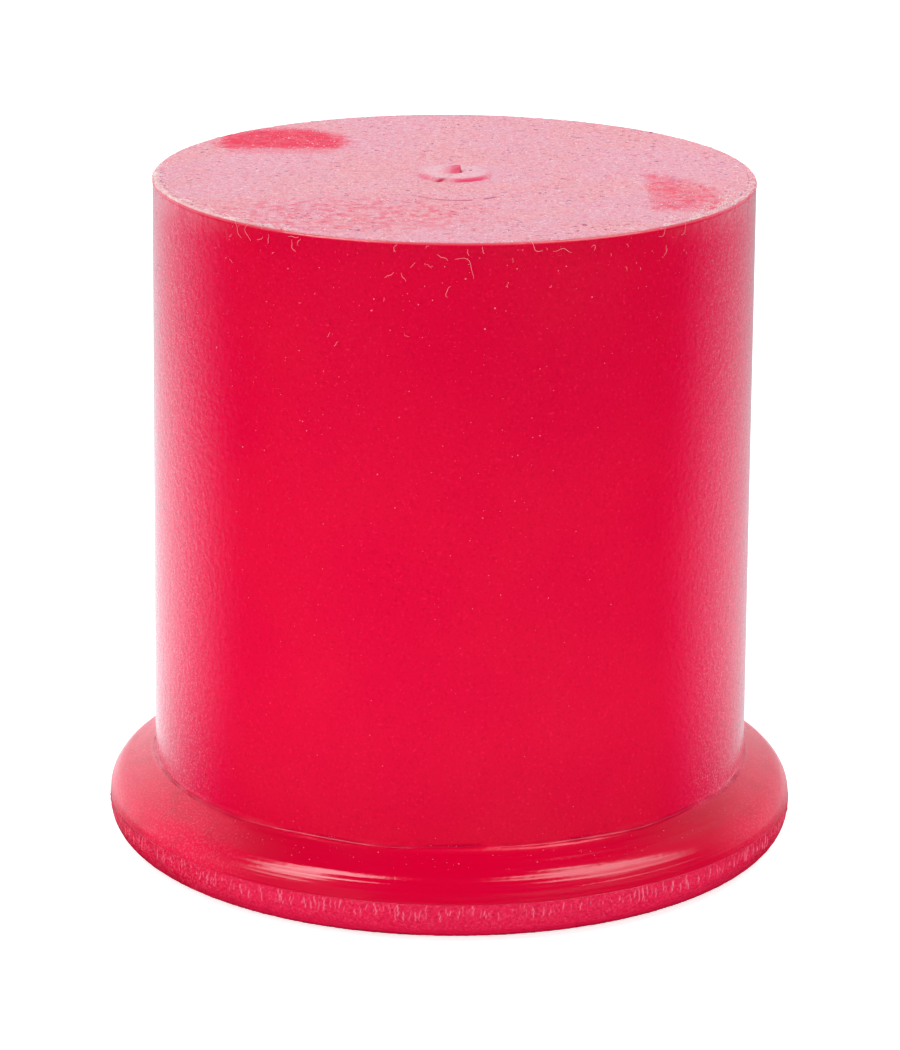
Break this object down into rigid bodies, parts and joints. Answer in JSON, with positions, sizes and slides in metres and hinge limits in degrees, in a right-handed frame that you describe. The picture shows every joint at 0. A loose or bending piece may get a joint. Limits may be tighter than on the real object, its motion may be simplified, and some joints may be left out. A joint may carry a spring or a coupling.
{
  "type": "rubber stopper",
  "caption": "Moulded rubber stopper: a slightly tapered solid plug on a low round head, to push into and close a round opening; it stands on its head.",
  "frame": {"origin": "centre of the head's flat face, which the stopper stands on", "axes": "+Z along the plug's axis, from the flat face of the head towards the plug's small end; the front as seen looks along +Y, with +X to the right"},
  "size_m": [0.0292, 0.0292, 0.0288],
  "materials": {
    "red_rubber": "solid red natural rubber with a satin moulded skin, a dry dusty bloom on the small end and fine lint"
  },
  "bodies": {
    "root": {"stopper": "red_rubber"}
  },
  "joints": []
}
